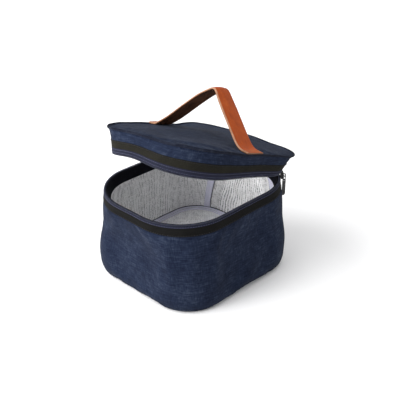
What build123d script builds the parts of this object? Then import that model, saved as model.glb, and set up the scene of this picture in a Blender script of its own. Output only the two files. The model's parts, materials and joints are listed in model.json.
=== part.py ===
from build123d import *
from math import acos, atan2, cos, degrees, radians, sin, sqrt
import os

# Insulated cooler bag: soft-walled foil-lined bag with a zipped, strap-handled lid.
#
# Frame: millimetres, +Z up, origin at the middle of the base on the ground.
# The hinge strip is on the +Y side, the bag opens at -Y, and the handle runs along X.
# The lid is drawn in its own plane, which stands open by lid_rest_angle.

os.makedirs("parts", exist_ok=True)

# ---- driving dimensions -------------------------------------------------------
rim_height = 109.0
rim_width = 161.0
rim_depth = 199.0
rim_radius = 63.0
belly_height = 30.0
belly_width = 174.0
belly_depth = 191.5
belly_radius = 48.0
base_round = 16.0
base_draw_in = 8.0      # how far the base edge lies inside the turned-up wall
turn_up_inset = 1.0     # the wall at the top of that turn, against the belly

fabric = 1.2
foam = 4.5
base_pad = 11.0         # the pad under the lining is thicker than the walls' foam
foil = 0.8
board = 2.0

tape_height = 13.0
coil_height = 1.6
coil_depth = 1.6
facing_height = 12.0
tape_step = 0.3         # how far each sewn-on band lies in from the cloth's outer face
strip_step = 0.2
coil_step = 0.1
binding_width = 7.0
binding_thickness = 0.9
edge_binding_width = 4.0
edge_binding_thickness = 1.2
stop_width = 4.0
stop_height = 5.0
stop_thickness = 1.0

lid_gap = 0.5
lid_wall_height = 27.0
lid_edge_inset = 1.5
lid_tape_height = 14.0
lid_top_width = 164.0
lid_top_depth = 195.5
lid_top_radius = 41.0
lid_foam = 3.5
dome_height = 3.2
piping = 2.4
piping_lap = 0.05

lid_rest_angle = 17.0
strip_half_width = 50.0
strip_clearance = 0.2

strap_width = 27.0
strap_thickness = 1.6
strap_lining = 0.8
strap_apex = 54.0       # where the two straight legs would meet, over the dome
strap_foot = 66.0
strap_lean = 15.0       # the crest stands this far to the right of the lid's middle
strap_crest_radius = 9.0
leg_rise = 20.0
leg_clearance = 0.1
dome_clearance = 0.1

slider_angle = 45.0
slider_clearance = 0.8
slider_length = 11.0
slider_thickness = 3.6
slider_height = 7.0
slider_corner = 2.0
slider_edge = 0.9
bridge_reach = 3.0
bridge_height = 3.2
bridge_bar = 1.0
bridge_width = 2.0
pin_height = 1.0
link_wire = 1.1
link_width = 5.6
link_length = 7.0
pull_length = 27.0
pull_width = 5.2
pull_thickness = 1.4

room = 300.0     # side of a cutting block larger than the bag


# ---- helpers ------------------------------------------------------------------
def blend_value(start, end, share):
    """A value part of the way from start to end."""
    return start + (end - start) * share


def bag_outline():
    """Height, width, depth and corner radius of the bag, from the ground to the rim."""
    # The base edge turns up on an ellipse; above the belly the sides draw in to the rim.
    sections = []
    for share in (0.0, 0.13, 0.35, 0.65, 1.0):
        draw_in = base_draw_in * (1.0 - sqrt(1.0 - (1.0 - share) ** 2))
        sections.append((base_round * share, belly_width - turn_up_inset - 2 * draw_in,
                         belly_depth - turn_up_inset - 2 * draw_in,
                         belly_radius - turn_up_inset - draw_in))
    sections.append((belly_height, belly_width, belly_depth, belly_radius))
    for share in (0.5, 1.0):
        sections.append((blend_value(belly_height, rim_height + 1.0, share),
                         blend_value(belly_width, rim_width, share ** 1.2),
                         blend_value(belly_depth, rim_depth, share),
                         blend_value(belly_radius, rim_radius, share ** 1.2)))
    return sections


def lid_outline():
    """Height, width, depth and corner radius of the lid, from its zip edge upwards."""
    sections = []
    for share in (0.0, 0.37, 0.74, 1.0):
        sections.append((lid_wall_height * share,
                         blend_value(rim_width - 2 * lid_edge_inset, lid_top_width, share),
                         blend_value(rim_depth - 2 * lid_edge_inset, lid_top_depth, share),
                         blend_value(rim_radius - lid_edge_inset, lid_top_radius, share)))
    return sections


def soft_form(base_plane, sections, inset):
    """Solid of a soft outline, drawn in by inset all round."""
    with BuildPart() as form:
        for height, width, depth, radius in sections:
            with BuildSketch(base_plane.offset(height)):
                RectangleRounded(width - 2 * inset, depth - 2 * inset, radius - inset)
        loft(ruled=True)
    return form.part


def layer(base_plane, sections, outer_inset, inner_inset, bottom, top, cut_strip=False):
    """Ring (or slab, with no inner inset) of one soft layer between two heights."""
    outer = soft_form(base_plane, sections, outer_inset)
    inner = None if inner_inset is None else soft_form(base_plane, sections, inner_inset)
    with BuildPart() as ring:
        add(outer)
        if inner is not None:
            add(inner, mode=Mode.SUBTRACT)
        with BuildSketch(base_plane.offset(bottom)):
            Rectangle(room, room)
        extrude(amount=top - bottom, mode=Mode.INTERSECT)
        if cut_strip:
            with BuildSketch(base_plane.offset(bottom - 1.0)):
                with Locations((0, rim_depth / 2)):
                    Rectangle(2 * strip_half_width, rim_depth / 2)
            extrude(amount=top - bottom + 2.0, mode=Mode.SUBTRACT)
    return ring.part


def strip_part(base_plane, ring, bottom, top):
    """The stretch of a ring that lies behind the hinge line, between the two zip ends."""
    with BuildPart() as strip:
        add(ring)
        with BuildSketch(base_plane.offset(bottom)):
            with Locations((0, rim_depth / 2)):
                Rectangle(2 * (strip_half_width - strip_clearance), rim_depth / 2)
        extrude(amount=top - bottom, mode=Mode.INTERSECT)
    return strip.part


def save(piece, name):
    """Label a finished sub-part and write it to its own file."""
    piece.label = name
    export_step(piece, f"parts/{name}.step")


# ---- reference planes and places ---------------------------------------------------
bag = bag_outline()
lid = lid_outline()
ground = Plane.XY

hinge_y = rim_depth / 2 + 0.3
hinge_z = rim_height + 0.9
lid_lift = lid_gap + coil_height / 2
tilt = radians(lid_rest_angle)
lid_normal = Vector(0, sin(tilt), cos(tilt))
lid_hinge = Vector(0, hinge_y, hinge_z)


def lid_point(x, y, rise):
    """Point of the open lid from its place on the closed bag and its rise over the zip edge."""
    back = y - hinge_y
    up = rim_height + lid_lift + rise - hinge_z
    return Vector(x, hinge_y + back * cos(tilt) + up * sin(tilt),
                  hinge_z - back * sin(tilt) + up * cos(tilt))


lid_plane = Plane(origin=lid_point(0, 0, 0), x_dir=(1, 0, 0), z_dir=lid_normal)

floor_top = fabric + board + base_pad
foil_floor = floor_top + foil
foam_top = rim_height - coil_height / 2
inner_foam = fabric + foam
inner_foil = inner_foam + foil
inner_facing = inner_foil + foil
tape_bottom = rim_height - tape_height

lid_inner = fabric + lid_foam
lid_ceiling = lid_wall_height - lid_foam
# Share of the dome's rise, and how far that level is drawn in from the lid's outline.
dome_steps = ((0.0, 0.0), (0.42, 6.0), (0.78, 20.0), (1.0, 44.0))

full_strap = strap_thickness + strap_lining
foot_rise = lid_wall_height + dome_height
arch_plane = Plane(origin=lid_point(0, 0, foot_rise), x_dir=(1, 0, 0),
                   z_dir=(0, -cos(tilt), sin(tilt)))

# The zip's track round the right back corner is an arc about this centre.
track_centre = Vector(rim_width / 2 - rim_radius, rim_depth / 2 - rim_radius, 0)
stop_angle = 1.5 + degrees(acos((strip_half_width - track_centre.X) / rim_radius))
zip_line = rim_height + 1.0


def track_plane(angle, radius, height):
    """Plane standing on the corner's track: x along the track, y up, z outwards."""
    out = Vector(cos(radians(angle)), sin(radians(angle)), 0)
    return Plane(origin=track_centre + out * radius + Vector(0, 0, height),
                 x_dir=(-out.Y, out.X, 0), z_dir=out)


# ---- bag body: outer shell -----------------------------------------------------
save(layer(ground, bag, 0.0, fabric, fabric, tape_bottom), "outer_wall")
save(layer(ground, bag, 0.0, None, 0.0, fabric), "outer_base")
save(layer(ground, bag, fabric, None, fabric, fabric + board), "base_board")

# ---- bag body: insulation and foil lining -----------------------------------------
save(layer(ground, bag, fabric, None, fabric + board, floor_top), "base_foam")
save(layer(ground, bag, fabric, inner_foam, floor_top, foam_top), "wall_foam")
save(layer(ground, bag, inner_foam, None, floor_top, foil_floor), "base_lining")
save(layer(ground, bag, inner_foam, inner_foil, foil_floor, foam_top), "wall_lining")
save(layer(ground, bag, inner_foil, inner_foil + edge_binding_width, foil_floor,
           foil_floor + edge_binding_thickness), "base_binding")

# ---- bag body: upright bindings over the two seams of the back lining ----------------
binding_place = 43.0
binding_turn = 27.0
binding_bottom = foil_floor + edge_binding_thickness + 0.2
binding_top = rim_height - facing_height - 1.0
binding_ring = layer(ground, bag, inner_foil, inner_foil + binding_thickness, binding_bottom,
                     binding_top)
for side, name in ((-1, "left_seam_binding"), (1, "right_seam_binding")):
    with BuildPart() as binding:
        add(binding_ring)
        with BuildSketch(Plane.XY.offset(binding_bottom)):
            with Locations((side * binding_place, rim_depth / 2 - 14.0)):
                Rectangle(binding_width, 30.0, rotation=-side * binding_turn)
        extrude(amount=binding_top - binding_bottom, mode=Mode.INTERSECT)
    save(binding.part, name)

# ---- bag body: rim facing, zip tape, coil and hinge strip ------------------------------
facing_band = layer(ground, bag, inner_foil, inner_facing, rim_height - facing_height, foam_top)
facing_cap = layer(ground, bag, coil_depth + 0.2, inner_facing, foam_top, rim_height)
with BuildPart() as rim_facing:
    add(facing_band)
    add(facing_cap)
save(rim_facing.part, "rim_facing")
save(layer(ground, bag, tape_step, fabric, tape_bottom, foam_top, cut_strip=True),
     "body_zip_tape")
save(layer(ground, bag, coil_step, coil_depth, foam_top, foam_top + coil_height,
           cut_strip=True), "body_zip_coil")
tape_ring = layer(ground, bag, strip_step, fabric, tape_bottom, foam_top)
save(strip_part(ground, tape_ring, tape_bottom, foam_top), "hinge_strip")

# ---- bag body: one folded metal stop at each end of the zip --------------------------
with BuildPart() as end_stops:
    with BuildSketch(track_plane(stop_angle, rim_radius + 0.5, foam_top - 2.0)):
        RectangleRounded(stop_width, stop_height, 0.8)
    extrude(amount=stop_thickness)
    mirror(about=Plane.YZ)
save(end_stops.part, "zip_end_stops")

# ---- lid: shell -----------------------------------------------------------------
save(layer(lid_plane, lid, 0.0, fabric, lid_tape_height, lid_wall_height), "lid_side_wall")
save(layer(lid_plane, lid, tape_step, fabric, coil_height, lid_tape_height, cut_strip=True),
     "lid_zip_tape")
save(layer(lid_plane, lid, coil_step, coil_depth, 0.0, coil_height, cut_strip=True),
     "lid_zip_coil")
lid_tape_ring = layer(lid_plane, lid, strip_step, fabric, coil_height, lid_tape_height)
save(strip_part(lid_plane, lid_tape_ring, coil_height, lid_tape_height), "lid_hinge_facing")

with BuildPart() as lid_top:
    for share, inset in dome_steps:
        with BuildSketch(lid_plane.offset(lid_wall_height + dome_height * share)):
            RectangleRounded(lid_top_width - 2 * inset, lid_top_depth - 2 * inset,
                             max(lid_top_radius - inset, 8.0))
    loft(ruled=True)
save(lid_top.part, "lid_top")

with BuildPart() as lid_piping:
    with BuildSketch(lid_plane.offset(lid_wall_height - piping / 2)):
        RectangleRounded(lid_top_width + 2 * piping, lid_top_depth + 2 * piping,
                         lid_top_radius + piping)
        RectangleRounded(lid_top_width + 2 * piping_lap, lid_top_depth + 2 * piping_lap,
                         lid_top_radius + piping_lap, mode=Mode.SUBTRACT)
    extrude(amount=piping)
save(lid_piping.part, "lid_piping")

# ---- lid: insulation and foil lining ----------------------------------------------
foam_ring = layer(lid_plane, lid, fabric, lid_inner, coil_height, lid_ceiling)
foam_slab = layer(lid_plane, lid, fabric, None, lid_ceiling, lid_wall_height)
with BuildPart() as lid_padding:
    add(foam_ring)
    add(foam_slab)
save(lid_padding.part, "lid_foam")
save(layer(lid_plane, lid, lid_inner, None, lid_ceiling - foil, lid_ceiling), "lid_lining")
save(layer(lid_plane, lid, lid_inner, lid_inner + foil, coil_height, lid_ceiling - foil),
     "lid_wall_lining")
save(layer(lid_plane, lid, lid_inner + foil, lid_inner + foil + edge_binding_width,
           lid_ceiling - foil - edge_binding_thickness, lid_ceiling - foil), "lid_binding")

# ---- handle: flat sewn ends, lying on the lid's dome --------------------------------
(_, _), (step_share, step_inset), (next_share, next_inset), _ = dome_steps
tab_tuck = 0.4          # the tab stops this far short of the piping
tab_end = lid_top_width / 2 - tab_tuck
tab_break = lid_top_width / 2 - step_inset
tab_start = strap_foot + 1.0
slope = (next_share - step_share) * dome_height / (next_inset - step_inset)
step_rise = dome_clearance + step_share * dome_height
edge_rise = dome_clearance + tab_tuck * step_share * dome_height / step_inset
tab_line = ((tab_end, edge_rise),
            (tab_break, step_rise),
            (tab_start, step_rise + (tab_break - tab_start) * slope))
for side, name in ((-1, "handle_end_left"), (1, "handle_end_right")):
    with BuildPart() as tab:
        with BuildSketch(arch_plane.offset(-strap_width / 2)):
            with BuildLine():
                lower = Polyline(*[(side * x, lid_wall_height - foot_rise + z) for x, z in tab_line])
                upper = Polyline(*[(side * x, lid_wall_height - foot_rise + z + full_strap)
                                   for x, z in tab_line])
                Line(lower @ 0, upper @ 0)
                Line(lower @ 1, upper @ 1)
            make_face()
        extrude(amount=strap_width)
    save(tab.part, name)


# ---- handle: arched strap, an outer layer and a thinner inner one ----------------------
def strap_line(depth):
    """Straight legs and a rounded crest, depth below the strap's outer face."""
    left_angle = atan2(strap_apex, strap_foot + strap_lean)
    right_angle = atan2(strap_apex, strap_foot - strap_lean)
    left_reach = strap_foot * sin(left_angle) - depth
    right_reach = strap_foot * sin(right_angle) - depth
    spread = sin(left_angle + right_angle)
    crest = ((right_reach * cos(left_angle) - left_reach * cos(right_angle)) / spread,
             (right_reach * sin(left_angle) + left_reach * sin(right_angle)) / spread)
    return FilletPolyline((-left_reach / sin(left_angle), 0), crest,
                          (right_reach / sin(right_angle), 0), radius=strap_crest_radius - depth)


def strap_band(outer_depth, inner_depth, bottom, top, left, right):
    """The part of one strap layer inside a window of heights and of places along X."""
    with BuildPart() as band:
        with BuildSketch(arch_plane.offset(-strap_width / 2)):
            with BuildLine():
                outer = strap_line(outer_depth)
                inner = strap_line(inner_depth)
                Line(outer @ 0, inner @ 0)
                Line(outer @ 1, inner @ 1)
            make_face()
            with Locations(((left + right) / 2, (bottom + top) / 2)):
                Rectangle(right - left, top - bottom, mode=Mode.INTERSECT)
        extrude(amount=strap_width)
    return band.part


strap_top = strap_apex + 5.0
save(strap_band(0.0, full_strap, 0.0, leg_rise, -strap_foot - 5.0, 0.0), "handle_leg_left")
save(strap_band(0.0, full_strap, 0.0, leg_rise, 0.0, strap_foot + 5.0), "handle_leg_right")
strap_bottom = leg_rise + leg_clearance
save(strap_band(0.0, strap_thickness, strap_bottom, strap_top, -strap_foot, strap_foot),
     "handle_strap")
save(strap_band(strap_thickness, full_strap, strap_bottom, strap_top, -strap_foot, strap_foot),
     "handle_lining")

# ---- zip slider: body and bridge ------------------------------------------------------
slider_face = track_plane(slider_angle, rim_radius + slider_clearance, zip_line)
slider_front = slider_face.offset(slider_thickness)
with BuildPart() as slider_body:
    with BuildSketch(slider_face):
        RectangleRounded(slider_length, slider_height, slider_corner)
    extrude(amount=slider_thickness)
    front_face = slider_body.faces().sort_by(Axis(slider_face.origin, slider_face.z_dir))[-1]
    fillet(front_face.edges(), slider_edge)
save(slider_body.part, "slider_body")

bridge_side = Plane(origin=slider_front.origin, x_dir=slider_front.y_dir, z_dir=slider_front.x_dir)
with BuildPart() as slider_bridge:
    with BuildSketch(bridge_side.offset(-bridge_width / 2)):
        with Locations((0, bridge_height / 2)):
            Rectangle(2 * bridge_reach, bridge_height)
        with Locations((0, (bridge_height - bridge_bar) / 2)):
            Rectangle(2 * (bridge_reach - bridge_bar), bridge_height - bridge_bar,
                      mode=Mode.SUBTRACT)
    extrude(amount=bridge_width)
save(slider_bridge.part, "slider_bridge")

# ---- zip pull: wire link round the bridge, and the tab that hangs from it ----------------
pin_plane = slider_front.offset(pin_height)
with BuildPart() as pull_link:
    with BuildSketch(pin_plane.offset(-link_wire / 2)):
        with Locations((0, -link_length / 2 + link_wire / 2)):
            RectangleRounded(link_width, link_length, 0.9)
            RectangleRounded(link_width - 2 * link_wire, link_length - 2 * link_wire, 0.4,
                             mode=Mode.SUBTRACT)
    extrude(amount=link_wire)
save(pull_link.part, "pull_link")

with BuildPart() as pull_tab:
    with BuildSketch(pin_plane.offset(-pull_thickness / 2)):
        with Locations((0, -(link_length + pull_length) / 2 + link_wire / 2)):
            RectangleRounded(pull_width, pull_length - link_length, 2.0)
    extrude(amount=pull_thickness)
save(pull_tab.part, "pull_tab")
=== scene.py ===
import json
import math

import bmesh
import bpy
import numpy as np
from mathutils import Matrix, Vector, noise
from mathutils.bvhtree import BVHTree


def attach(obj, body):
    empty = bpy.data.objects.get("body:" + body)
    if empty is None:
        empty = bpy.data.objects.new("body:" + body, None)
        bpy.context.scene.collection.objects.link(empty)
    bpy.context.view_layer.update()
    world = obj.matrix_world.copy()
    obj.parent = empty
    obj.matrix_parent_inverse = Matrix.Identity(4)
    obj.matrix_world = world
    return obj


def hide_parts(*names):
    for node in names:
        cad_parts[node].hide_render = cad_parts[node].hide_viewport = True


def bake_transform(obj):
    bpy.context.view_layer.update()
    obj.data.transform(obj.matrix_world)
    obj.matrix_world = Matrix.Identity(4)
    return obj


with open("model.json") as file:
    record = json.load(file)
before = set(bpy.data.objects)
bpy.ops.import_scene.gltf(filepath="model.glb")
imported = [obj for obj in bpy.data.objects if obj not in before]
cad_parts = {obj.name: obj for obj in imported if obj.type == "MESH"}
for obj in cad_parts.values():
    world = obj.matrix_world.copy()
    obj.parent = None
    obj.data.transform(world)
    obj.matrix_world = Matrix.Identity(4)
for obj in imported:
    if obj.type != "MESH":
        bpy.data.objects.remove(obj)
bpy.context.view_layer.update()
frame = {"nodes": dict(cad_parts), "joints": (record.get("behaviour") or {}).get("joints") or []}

# Shapes are worked out in millimetres and turned into metres when a mesh is made.
# A place round the bag or the lid is u, from 0 at the middle of the back, clockwise seen
# from above, to 9 at the same point: each whole step is one corner or one straight, and
# the back is two half straights. An inset is the depth in from the cloth's outer face.
MM = 0.001
TURN = 9.0
STRIP_U = 1.344          # the zip ends here; the hinge cloth lies between its two ends
BASE_ROUND = 16.0        # height of the turned-up base edge
BELLY = 30.0             # height where the wall is widest
FLOOR_Z = 19.0           # lining's floor
TAPE_LOW = 96.0          # lower edge of the rim's zip tape
RIM = 109.0
HINGE_Y = 99.8           # fold line of the hinge cloth
HINGE_Z = 109.9
LID_WALL = 27.0          # height of the lid's side over its zip edge
LID_LIFT = 0.4           # the lid's zip edge over the fold line
FOOT_RISE = 30.2         # the strap's feet over the lid's zip edge
FOIL_RIB = 2.4           # pitch of the ribs stamped into the foil
COIL_PITCH = 1.4
COIL_RADIUS = 0.75
COIL_WIRE = 0.36

joint = {j["name"]: j for j in frame["joints"]}
TILT = math.radians(-joint["lid_hinge"]["range_deg"][0])


# ---- outlines ----
def smooth(x, low, high):
    """0 below low and 1 above high, with a soft step between."""
    t = np.clip((np.asarray(x, float) - low) / (high - low), 0, 1)
    return t * t * (3 - 2 * t)


def hill(x, at, size):
    """Smooth hill of height 1."""
    return np.exp(-((x - at) / size) ** 2)


def bag_form(height):
    """Width, depth and corner radius of the bag at a height."""
    height = np.asarray(height, float)
    turned = np.clip(height / BASE_ROUND, 0, 1)
    draw = 8.0 * (1 - np.sqrt(1 - (1 - turned) ** 2))
    belly = np.clip((height - BASE_ROUND) / (BELLY - BASE_ROUND), 0, 1)
    up = np.clip((height - BELLY) / 80.0, 0, 1)
    return (173 + belly - 2 * draw - 13 * up ** 1.2,
            190.5 + belly - 2 * draw + 7.5 * up,
            47 + belly - draw + 15 * up ** 1.2)


def lid_form(rise):
    """Width, depth and corner radius of the lid at a height over its zip edge."""
    share = np.clip(np.asarray(rise, float) / LID_WALL, 0, 1.2)
    return 158 + 6 * share, 196 - 0.5 * share, 61.5 - 20.5 * share


def outline(u, width, depth, radius):
    """Points and outward normals of a rounded rectangle at places u."""
    u, width, depth, radius = np.broadcast_arrays(np.asarray(u, float) % TURN,
                                                  width, depth, radius)
    hx, hy = width / 2 - radius, depth / 2 - radius
    side = np.floor(u).astype(int)
    t = u - side
    parts = {0: (hx * t, depth / 2, 0, 1), 2: (width / 2, hy - 2 * hy * t, 1, 0),
             4: (hx - 2 * hx * t, -depth / 2, 0, -1), 6: (-width / 2, -hy + 2 * hy * t, -1, 0),
             8: (-hx + hx * t, depth / 2, 0, 1)}
    for k, sx, sy, start in ((1, 1, 1, 90), (3, 1, -1, 0), (5, -1, -1, -90), (7, -1, 1, 180)):
        a = np.radians(start - 90 * t)
        parts[k] = (sx * hx + radius * np.cos(a), sy * hy + radius * np.sin(a),
                    np.cos(a), np.sin(a))
    found = [np.zeros(u.shape) for _ in range(4)]
    for k, values in parts.items():
        here = side == k
        for array, value in zip(found, values):
            array[here] = np.broadcast_to(value, u.shape)[here]
    return found


def even_places(start, end, count, form, height, closed=False):
    """Places u evenly spaced along the outline at one height, and the length it has there."""
    fine = np.linspace(start, end, 4000)
    x, y, _, _ = outline(np.clip(fine, 0, TURN - 1e-9), *form(height))
    run = np.concatenate([[0], np.cumsum(np.hypot(np.diff(x), np.diff(y)))])
    want = np.linspace(0, run[-1], count + closed)[:count]
    return np.interp(want, run, fine), run[-1]


def wander(x, y, z, size, seed):
    """Smooth repeatable unevenness, about -1 to 1, of a given size in millimetres."""
    x, y, z = np.broadcast_arrays(x, y, z)
    flat = [noise.noise(Vector((a / size + seed, b / size - seed, c / size)))
            for a, b, c in zip(x.ravel(), y.ravel(), z.ravel())]
    return np.array(flat).reshape(x.shape)


def seam_wave(x, y):
    """How the seam round the lid's top waves up and down."""
    return 0.9 * wander(x, y, 0 * x, 48, 2.2) + 0.35 * wander(x, y, 0 * x, 19, 9.4)


def bag_place(u, height, inset):
    """Point of the soft bag wall."""
    u, height, inset = np.broadcast_arrays(np.asarray(u, float),
                                           np.asarray(height, float), inset)
    x, y, nx, ny = outline(u, *bag_form(height))
    free = smooth(height, 2, 26) * (1 - 0.75 * smooth(height, 84, 104))
    out = (1.5 * free * wander(x, y, height, 62, 3.1)
           + 0.55 * free * wander(x, y, height, 24, 8.7))
    # Handling has pressed a soft waist into the front and into the right back corner.
    turn = u % TURN
    front = smooth(turn, 3.5, 4.3) * (1 - smooth(turn, 5.1, 6.1))
    corner = smooth(turn, 1.3, 1.9) * (1 - smooth(turn, 2.1, 2.9))
    out = (out - 3.6 * front * hill(height, 64, 19) + 1.2 * front * hill(height, 24, 14)
           - 2.8 * corner * hill(height, 70, 17))
    lift = 0.7 * smooth(height, 60, RIM) * wander(x, y, 0 * x, 70, 5.5)
    return np.stack([x + nx * (out - inset), y + ny * (out - inset), height + lift], -1)


def lid_world(x, y, rise):
    """Point of the soft lid at rest.

    The lid has slumped down and inwards on the left, where the zip is open. Its front right
    corner stands up, and its top sinks along the back, most of all at the back left corner.
    """
    x = np.asarray(x, float)
    y = np.asarray(y, float)
    left = smooth(-x, -10, 82) * (1 - smooth(y, 30, 92))
    near = smooth(x, 0, 75) * smooth(-y, 0, 80)
    back = smooth(x, 30, 80) * smooth(y, 10, 80)
    rear = smooth(y, 0, 90) * (1 - 0.35 * smooth(x, 20, 80))
    back_left = smooth(-x, 0, 75) * smooth(y, 40, 92)
    stand = np.clip(np.asarray(rise, float) / LID_WALL, 0, 1.3)
    return lid_tilt(x + 11.5 * left, y,
                    rise - (10.5 - 2.0 * stand) * left + (7.0 * stand - 1.0) * near
                    - 1.5 * back - stand * (5.5 * rear + 4.0 * back_left))


def lid_tilt(x, y, rise):
    """Point of the open lid from its place on the closed bag."""
    back = y - HINGE_Y
    up = rise + LID_LIFT
    return np.stack(np.broadcast_arrays(
        x, HINGE_Y + back * math.cos(TILT) + up * math.sin(TILT),
        HINGE_Z - back * math.sin(TILT) + up * math.cos(TILT)), -1)


def lid_place(u, rise, inset):
    """Point of the soft lid wall."""
    u, rise, inset = np.broadcast_arrays(np.asarray(u, float), np.asarray(rise, float), inset)
    x, y, nx, ny = outline(u, *lid_form(rise))
    free = smooth(rise, 6, 20)
    out = (0.9 * free * wander(x, y, rise, 40, 1.7) + 0.5 * free * wander(x, y, rise, 17, 6.1)
           - 0.8 * np.sin(np.pi * np.clip(rise / LID_WALL, 0, 1)) * smooth(rise, 0, 8))
    # The edge waves with the rim below it; the top seam has a looser wave of its own.
    low = 0.7 * wander(x, y, 0 * x, 70, 5.5)
    lift = low + (seam_wave(x, y) - low) * smooth(rise, 6, LID_WALL)
    return lid_world(x + nx * (out - inset), y + ny * (out - inset), rise + lift)


PLACE = {"bag": bag_place, "lid": lid_place}
FORM = {"bag": bag_form, "lid": lid_form}


# ---- mesh building ----
def link(name, data):
    obj = bpy.data.objects.new(name, data)
    bpy.context.scene.collection.objects.link(obj)
    return obj


def make_object(name, verts, faces, uvs=None, materials=(), kinds=None):
    """Mesh object from millimetre points; uvs holds one pair per face corner, in metres."""
    mesh = bpy.data.meshes.new(name)
    mesh.from_pydata((np.asarray(verts, float) * MM).tolist(), [], faces)
    if uvs is not None:
        layer = mesh.uv_layers.new(name="cloth")
        layer.data.foreach_set("uv", np.asarray(uvs, np.float32).ravel())
    for m in materials:
        mesh.materials.append(m)
    if kinds is not None:
        mesh.polygons.foreach_set("material_index", kinds)
    mesh.polygons.foreach_set("use_smooth", [True] * len(mesh.polygons))
    mesh.validate()
    mesh.update()
    return link(name, mesh)


def clean(mesh, weld=False):
    """Outward normals, and either no doubled points or no many-sided faces."""
    bm = bmesh.new()
    bm.from_mesh(mesh)
    if weld:
        bmesh.ops.remove_doubles(bm, verts=bm.verts, dist=1e-6)
    else:
        bmesh.ops.triangulate(bm, faces=[f for f in bm.faces if len(f.verts) > 4])
    bmesh.ops.recalc_face_normals(bm, faces=bm.faces)
    bm.to_mesh(mesh)
    bm.free()


def solid(name, verts, faces, uvs, *materials, kinds=None):
    """Closed mesh object."""
    obj = make_object(name, verts, faces, uvs, materials, kinds)
    clean(obj.data)
    return obj


def grid_faces(rows, cols, wrap_rows, wrap_cols, flip=False):
    """Quads of a grid, and for each corner its unwrapped row and column."""
    r, c = np.meshgrid(np.arange(rows if wrap_rows else rows - 1),
                       np.arange(cols if wrap_cols else cols - 1), indexing="ij")
    r, c = r.ravel(), c.ravel()
    corner_r = np.stack([r, r, r + 1, r + 1], 1)
    corner_c = np.stack([c, c + 1, c + 1, c], 1)
    if flip:
        corner_r, corner_c = corner_r[:, ::-1], corner_c[:, ::-1]
    return ((corner_r % rows) * cols + corner_c % cols).tolist(), corner_r, corner_c


def grid_uvs(along, across, cols, rows):
    """A pair for each corner of a grid's faces."""
    return np.stack([along[cols], across[rows]], -1).reshape(-1, 2).tolist()


def steps(points):
    """Running length along points, in metres, starting at 0."""
    return np.concatenate([[0], np.cumsum(np.linalg.norm(np.diff(points, axis=0), axis=1))]) * MM


def loop_steps(points):
    """Running length round closed points, in metres, with the whole length at its end."""
    return steps(np.concatenate([points, points[:1]]))


def ring(name, place, profile, places, closed, material):
    """Band that follows the outline: a closed profile of (height, inset) swept along places."""
    profile = np.array(profile, float)
    rows, cols = len(profile), len(places)
    points = place(places[None, :], profile[:, :1], profile[:, 1:])
    faces, cr, cc = grid_faces(rows, cols, True, closed, flip=True)
    uvs = grid_uvs(loop_steps(points[0]), loop_steps(profile), cc, cr)
    if not closed:
        for col in (0, cols - 1):
            order = [row * cols + col for row in range(rows)]
            if col:
                order.reverse()
            faces.append(order)
            uvs += [[profile[i // cols][1] * MM, profile[i // cols][0] * MM] for i in order]
    return solid(name, points.reshape(-1, 3), faces, uvs, material)


def round_profile(height, inset, radius, sides):
    """Closed round profile of a cord."""
    return [(height + radius * math.sin(a), inset + radius * math.cos(a))
            for a in np.linspace(0, 2 * math.pi, sides, endpoint=False)]


def band_profile(bottom, top, outer, inner, rows):
    """Closed profile of a cloth band with soft edges."""
    half = (inner - outer) / 2
    mid = (inner + outer) / 2
    edge = [(0.5, -0.87), (0.87, -0.5), (1.0, 0.0), (0.87, 0.5), (0.5, 0.87)]
    up = [(h, outer) for h in np.linspace(bottom + half, top - half, rows)]
    over = [(top - half + half * a, mid + half * b) for a, b in edge]
    down = [(h, inner) for h in np.linspace(top - half, bottom + half, max(rows // 2, 2))]
    under = [(bottom + half - half * a, mid - half * b) for a, b in edge]
    return up + over + down + under


def track(place, places, height, inset):
    """Points along a band with the directions along, outwards and up."""
    centre = place(places, height, inset)
    out = place(places, height, inset - 1.0) - centre
    along = unit(np.gradient(centre, axis=0))
    out = unit(out - along * np.sum(out * along, 1, keepdims=True))
    return centre, along, out, np.cross(along, out)


def unit(vectors):
    return vectors / np.linalg.norm(vectors, axis=-1, keepdims=True)


def add_stitch(verts, faces, middle, span, up, shape):
    """Adds one short thread that dips into the cloth at both ends.

    shape holds a share of the span, a radius and a lift for each section along it.
    """
    sides = 6
    side = np.cross(unit(span), up)
    base = len(verts)
    for share, radius, lift in shape:
        centre = middle + span * share + up * lift
        for k in range(sides):
            turn = 2 * math.pi * k / sides
            verts.append(centre + (up * math.cos(turn) + side * math.sin(turn)) * radius)
    last = base + (len(shape) - 1) * sides
    for row in range(base, last, sides):
        for a in range(sides):
            b = (a + 1) % sides
            faces.append([row + a, row + b, row + sides + b, row + sides + a])
    faces.append([base + a for a in range(sides)][::-1])
    faces.append([last + a for a in range(sides)])


def stitch_row(name, body, start, end, pitch, height, inset, material):
    """Row of sewn stitches on the bag or the lid."""
    shape = [(-0.5, 0.075, -0.25), (-0.38, 0.24, 0.0), (0, 0.3, 0.12), (0.38, 0.24, 0.0),
             (0.5, 0.075, -0.25)]
    thread_share = 0.68      # of the pitch; the rest is the gap between two stitches
    _, length = even_places(start, end, 3, FORM[body], height)
    places, _ = even_places(start, end, int(length / pitch), FORM[body], height)
    centre, along, out, _ = track(PLACE[body], places, height, inset)
    verts, faces = [], []
    for k in range(len(places)):
        add_stitch(verts, faces, centre[k], along[k] * pitch * thread_share, out[k], shape)
    return solid(name, verts, faces, None, material)


def tube(name, path, side_a, side_b, radius, sides, closed, material):
    """Round tube along a path, from two directions across it at each point."""
    angles = 2 * math.pi * np.arange(sides) / sides
    verts = np.stack([path + (side_a * math.cos(a) + side_b * math.sin(a)) * radius
                      for a in angles], 1)
    faces, _, _ = grid_faces(len(path), sides, closed, True)
    if not closed:
        faces += [list(range(sides)),
                  [(len(path) - 1) * sides + k for k in range(sides)][::-1]]
    return solid(name, verts.reshape(-1, 3), faces, None, material)


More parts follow.
